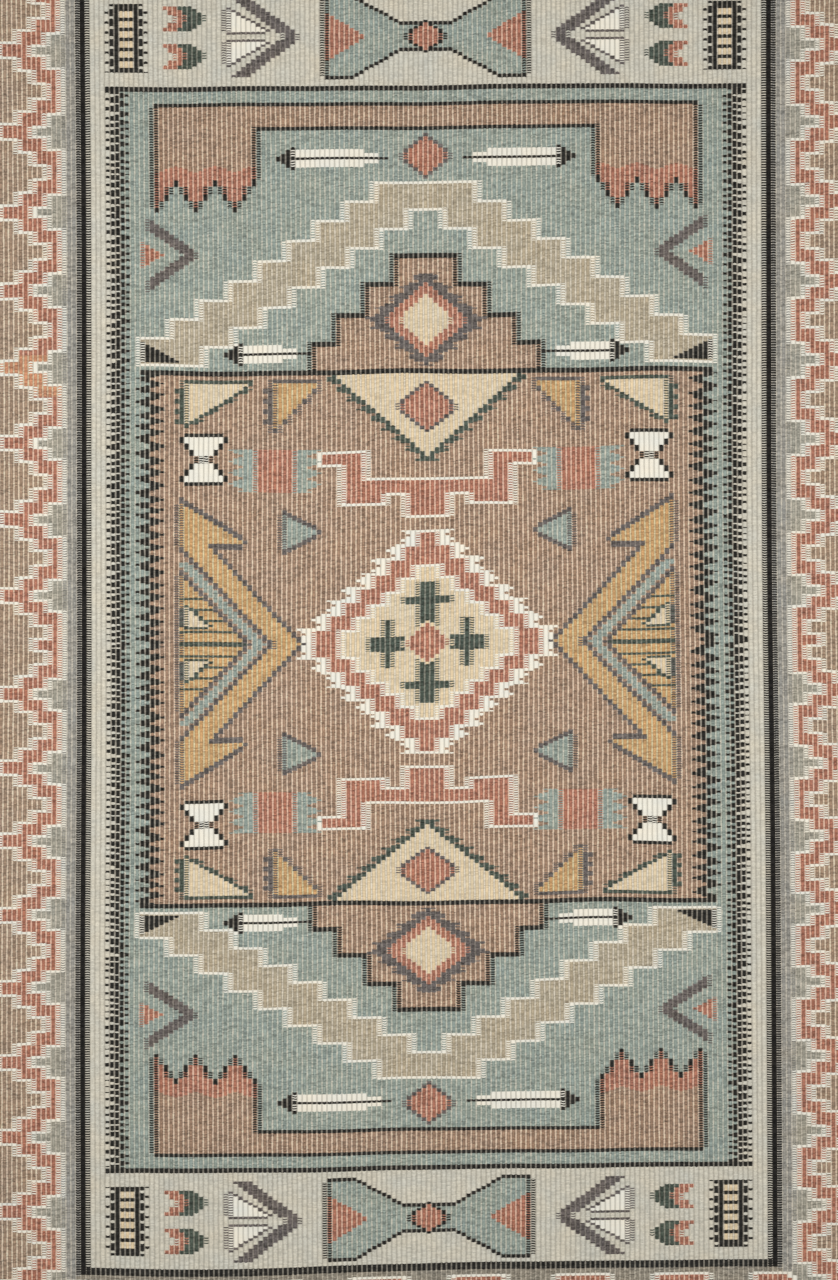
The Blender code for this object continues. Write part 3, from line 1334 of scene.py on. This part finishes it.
    def _warp_line_and_painted_light(self, tree: bpy.types.NodeTree, shade: Any, line_and_shade: Any, warp: Any, pick: Any) -> Any:
        """Lets the cream warp shine through in the valleys between ribs, here more and there less, under a
        painted highlight of the yarn, and paints shade under that line and down the ribs' sides.

        Args:
            tree: the node tree.
            shade: the yarn's colour.
            line_and_shade: how much of the warp and its painted highlight is seen through this yarn, and how
                deep the painted shade down the rib's sides is.
            warp: the place across, in ribs.
            pick: the place along, in beads.

        Returns:
            The colour with its light lines, partly warp and partly painted highlight, and its painted shade.
        """
        add = partial(add_node, tree)
        waver = self._noise(tree, self.waver, warp, pick)
        swayed = add("Math", (waver, self.waver.strength, warp), operation="MULTIPLY_ADD")
        straight = add("Math", (swayed, self.waver.strength / 2), operation="SUBTRACT")
        from_valley = add("Math", (straight, 0.5), operation="PINGPONG")
        valley = add("Math", (warp,), operation="ROUND")
        gaps = self._noise(tree, self.gaps, valley, pick)
        narrowest = (self.line_width - self.gaps.strength) / 2
        width = add("Math", (gaps, self.gaps.strength, narrowest), operation="MULTIPLY_ADD")
        edges = [add("Math", (width, share), operation="MULTIPLY") for share in self.line_edges]
        line, trough_shade = (
            add(
                "MapRange",
                {"Value": from_valley, "From Min": near, "From Max": far, "To Min": 1.0, "To Max": 0.0},
                interpolation_type="SMOOTHSTEP",
            )
            for near, far in (edges, self.trough_edges)
        )

        # Painted shade: the yarn is darkened under the light line, and down each rib's sides into the valley
        # by as much as the yarn's share sets.
        depth = add("Math", (trough_shade, line_and_shade), operation="MULTIPLY")
        shadow = add("Math", (line, -self.valley_shadow, 1.0), operation="MULTIPLY_ADD")
        shadow = add("Math", (depth, -self.trough_shade, shadow), operation="MULTIPLY_ADD")
        dimmed = add("VectorMath", {0: shade, "Scale": shadow}, operation="SCALE")

        stitch = add("CombineXYZ", (valley, add("Math", (pick,), operation="FLOOR")))
        glints = add("TexWhiteNoise", {"Vector": stitch})
        uneven = add("Math", (gaps, self.line_gaps, self.line_level), operation="MULTIPLY_ADD")
        uneven = add("Math", (glints, self.line_glints, uneven), operation="MULTIPLY_ADD")
        open_line = add("Math", (line, line_and_shade), operation="MULTIPLY")
        share = add("Math", (open_line, uneven), operation="MULTIPLY", use_clamp=True)

        # The light line's colour: the cream warp mixed with the yarn drawn lighter, a painted highlight.
        warp_colour = (*linear(self.warp_shade), 1.0)
        lit = add("VectorMath", {0: shade, "Scale": self.highlight_lift}, operation="SCALE")
        highlit_yarn = add("VectorMath", (lit, warp_colour[:3]), operation="MINIMUM")
        seen = add("Mix", {0: self.fuzz, 6: warp_colour, 7: highlit_yarn}, data_type="RGBA").outputs[2]
        return add("Mix", {0: share, 6: dimmed, 7: seen}, data_type="RGBA").outputs[2]


@dataclass(frozen=True)
class Lamp:
    """A square soft lamp that faces the rug's middle.

    Attributes:
        name: the lamp's name.
        place: where it hangs.
        size: the side of its square.
        power: its power in watts.
    """

    name: str
    place: tuple[float, float, float]
    size: float
    power: float

    def hang(self) -> None:
        """Hangs the lamp."""
        lamp = bpy.data.lights.new(self.name, "AREA")
        lamp.size = self.size
        lamp.energy = self.power
        holder = bpy.data.objects.new(self.name, lamp)
        holder.location = self.place
        holder.rotation_euler = Vector(self.place).to_track_quat("Z", "Y").to_euler()
        bpy.context.scene.collection.objects.link(holder)


@dataclass(frozen=True)
class Studio:
    """A plain pale floor, soft light from above and a camera over the rug, looking straight down.

    Attributes:
        pixel: the size of one pixel of the photograph on the rug, in metres.
        frame: the photograph's width and height in pixels.
        rug_middle: the pixel over the middle of the rug.
        roll: how far the picture is turned, in radians.
        lens_mm: the camera's focal length.
        sensor_mm: the longer side of its sensor.
        lamps: the key light from the left and the fill light from the right.
        sky_shade: sRGB hex colour of the light from all round.
        sky_strength: its strength.
        floor_half: half the floor's side, in metres.
        floor_drop: how far the floor lies below the rug.
        floor_shade: sRGB hex colour of the floor, which is matt painted board.
        floor_roughness: its roughness.
    """

    pixel: float = 0.8 * MM
    frame: Point = (838.0, 1280.0)
    rug_middle: Point = (427.3, 627.5)
    roll: float = -0.0031
    lens_mm: float = 85.0
    sensor_mm: float = 36.0
    lamps: tuple[Lamp, ...] = (
        Lamp("key_light", (-0.36, 0.10, 1.12), 1.0, 7.8),
        Lamp("fill_light", (0.58, -0.06, 1.12), 1.2, 5.2),
    )
    sky_shade: str = "#fffefc"
    sky_strength: float = 0.385
    floor_half: float = 9.0
    floor_drop: float = 0.2 * MM
    floor_shade: str = "#d8d5ce"
    floor_roughness: float = 0.8

    def build(self) -> None:
        """Makes the floor, the lamps, the world and the camera."""
        self._floor()
        for lamp in self.lamps:
            lamp.hang()
        world = bpy.data.worlds.new("studio")
        world.use_nodes = True
        sky = world.node_tree.nodes["Background"]
        sky.inputs["Color"].default_value = (*linear(self.sky_shade), 1.0)
        sky.inputs["Strength"].default_value = self.sky_strength
        bpy.context.scene.world = world
        bpy.context.scene.view_settings.view_transform = "Standard"
        self._camera()

    def _floor(self) -> None:
        """Lays the floor just under the rug."""
        mesh = bpy.data.meshes.new("floor")
        half = self.floor_half
        corners = [(-half, -half, 0), (half, -half, 0), (half, half, 0), (-half, half, 0)]
        mesh.from_pydata(corners, [], [(0, 1, 2, 3)])
        floor = bpy.data.objects.new("floor", mesh)
        floor.location.z = -self.floor_drop
        bpy.context.scene.collection.objects.link(floor)
        material = bpy.data.materials.new("painted_board")
        material.use_nodes = True
        shader = material.node_tree.nodes["Principled BSDF"]
        shader.inputs["Base Color"].default_value = (*linear(self.floor_shade), 1.0)
        shader.inputs["Roughness"].default_value = self.floor_roughness
        mesh.materials.append(material)

    def _camera(self) -> None:
        """Sets the camera so that the rug fills the picture as in the photograph."""
        width, height = self.frame
        tall = height * self.pixel
        camera = bpy.data.cameras.new("camera")
        camera.sensor_width = self.sensor_mm
        camera.sensor_fit = "AUTO"
        camera.lens = self.lens_mm
        holder = bpy.data.objects.new("camera", camera)
        x = (width / 2 - self.rug_middle[0]) * self.pixel
        y = (self.rug_middle[1] - height / 2) * self.pixel
        holder.location = (x, y, tall * self.lens_mm / self.sensor_mm)
        holder.rotation_euler = (0.0, 0.0, self.roll)
        bpy.context.scene.collection.objects.link(holder)
        bpy.context.scene.camera = holder


@dataclass(frozen=True)
class Rug:
    """The rug: its chart, its cloth and its place on the frame.

    Attributes:
        count: how the cloth is counted.
    """

    count: Count = field(default_factory=Count)

    def chart(self) -> Chart:
        """Charts the whole rug, grounds first and the finest lines last.

        Returns:
            The finished chart.
        """
        chart = Chart(self.count)
        for part in (Meander, TealPanels, CentrePanel, EndBands, Lines):
            part(chart).weave()
        chart.comb_joins()
        return chart

    def build(self) -> bpy.types.Object:
        """Weaves the cloth and ties it to the frame.

        Returns:
            The cloth's object.
        """
        lowest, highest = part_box("rug")
        form = RugForm(self.count, lowest, highest)
        cloth = Loom(self.chart(), form).weave()
        wool = PackedWool(form.width / self.count.ribs / MM, form.length / self.count.beads / MM)
        cloth.data.materials.append(wool.material())
        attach(cloth, "root")
        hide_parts("rug")
        return cloth


def main() -> None:
    """Loads the frame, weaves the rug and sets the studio."""
    logging.basicConfig(level=logging.INFO, format="%(name)s: %(message)s")
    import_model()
    cloth = Rug().build()
    log.info("%s: woven and laid on the frame", cloth.name)
    Studio().build()
    log.info("studio: floor, lamps and camera set")


if __name__ == "__main__":
    main()
